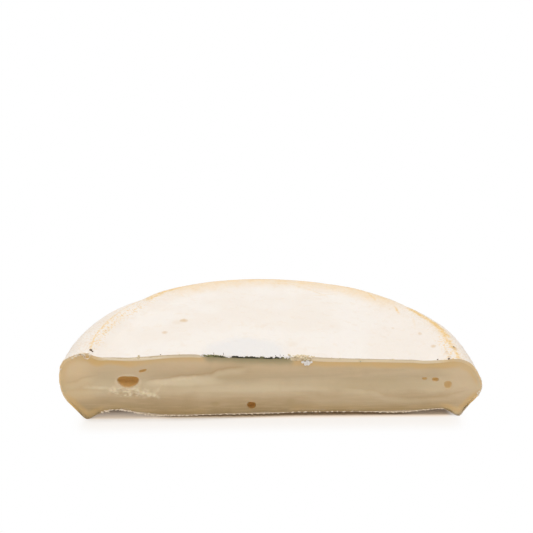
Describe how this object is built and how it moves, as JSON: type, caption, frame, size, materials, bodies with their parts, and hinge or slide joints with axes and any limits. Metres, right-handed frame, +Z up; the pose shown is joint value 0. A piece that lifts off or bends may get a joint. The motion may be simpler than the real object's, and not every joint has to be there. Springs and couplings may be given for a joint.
{
  "type": "reblochon half wheel",
  "caption": "Half of a small soft washed-rind cheese wheel lying flat: white rind, ivory paste with a few eyes at the straight cut, green casein mark in the top.",
  "frame": {"origin": "middle of the half wheel's footprint, on the surface it lies on", "axes": "+X along the straight cut towards the lower end, +Y from the cut towards the round rim, +Z up"},
  "size_m": [0.1501, 0.0752, 0.0262],
  "materials": {
    "rind": "dry velvety white bloom over an orange rind",
    "paste": "satin, faintly translucent ivory paste",
    "casein": "matt dark green"
  },
  "bodies": {
    "root": {"cheese": "rind", "casein_mark": "casein"}
  },
  "joints": []
}
